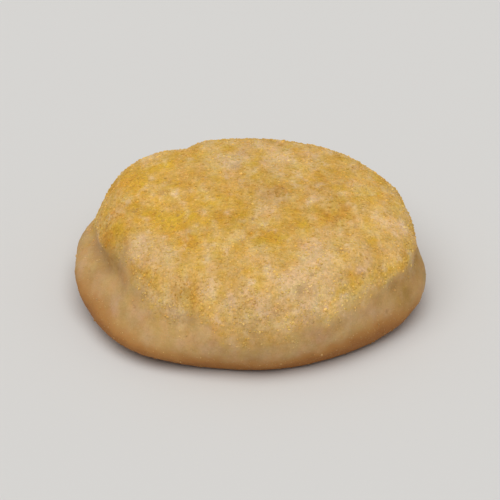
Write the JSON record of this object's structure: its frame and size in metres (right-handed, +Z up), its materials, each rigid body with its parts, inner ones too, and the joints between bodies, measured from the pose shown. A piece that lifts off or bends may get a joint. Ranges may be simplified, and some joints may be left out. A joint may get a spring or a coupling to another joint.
{
  "type": "english muffin",
  "caption": "Round flat griddle-baked bread with a golden cornmeal-dusted top, pale sides, toasted rims and a low lobe folded under the cap on one side.",
  "frame": {"origin": "middle of the bounding box, at the level of the flat foot that the muffin rests on", "axes": "+Z up through the thickness, +X to the right along the longest extent, +Y to the far side; the low lobe is at -X"},
  "size_m": [0.0934, 0.0904, 0.0296],
  "materials": {
    "crust": "matt griddle-baked crust, golden on top, pale beige at the side, toasted brown at the foot's rim",
    "cornmeal": "fine dry grains of yellow cornmeal, from gold to cream"
  },
  "bodies": {
    "root": {"english_muffin": "crust"}
  },
  "joints": []
}
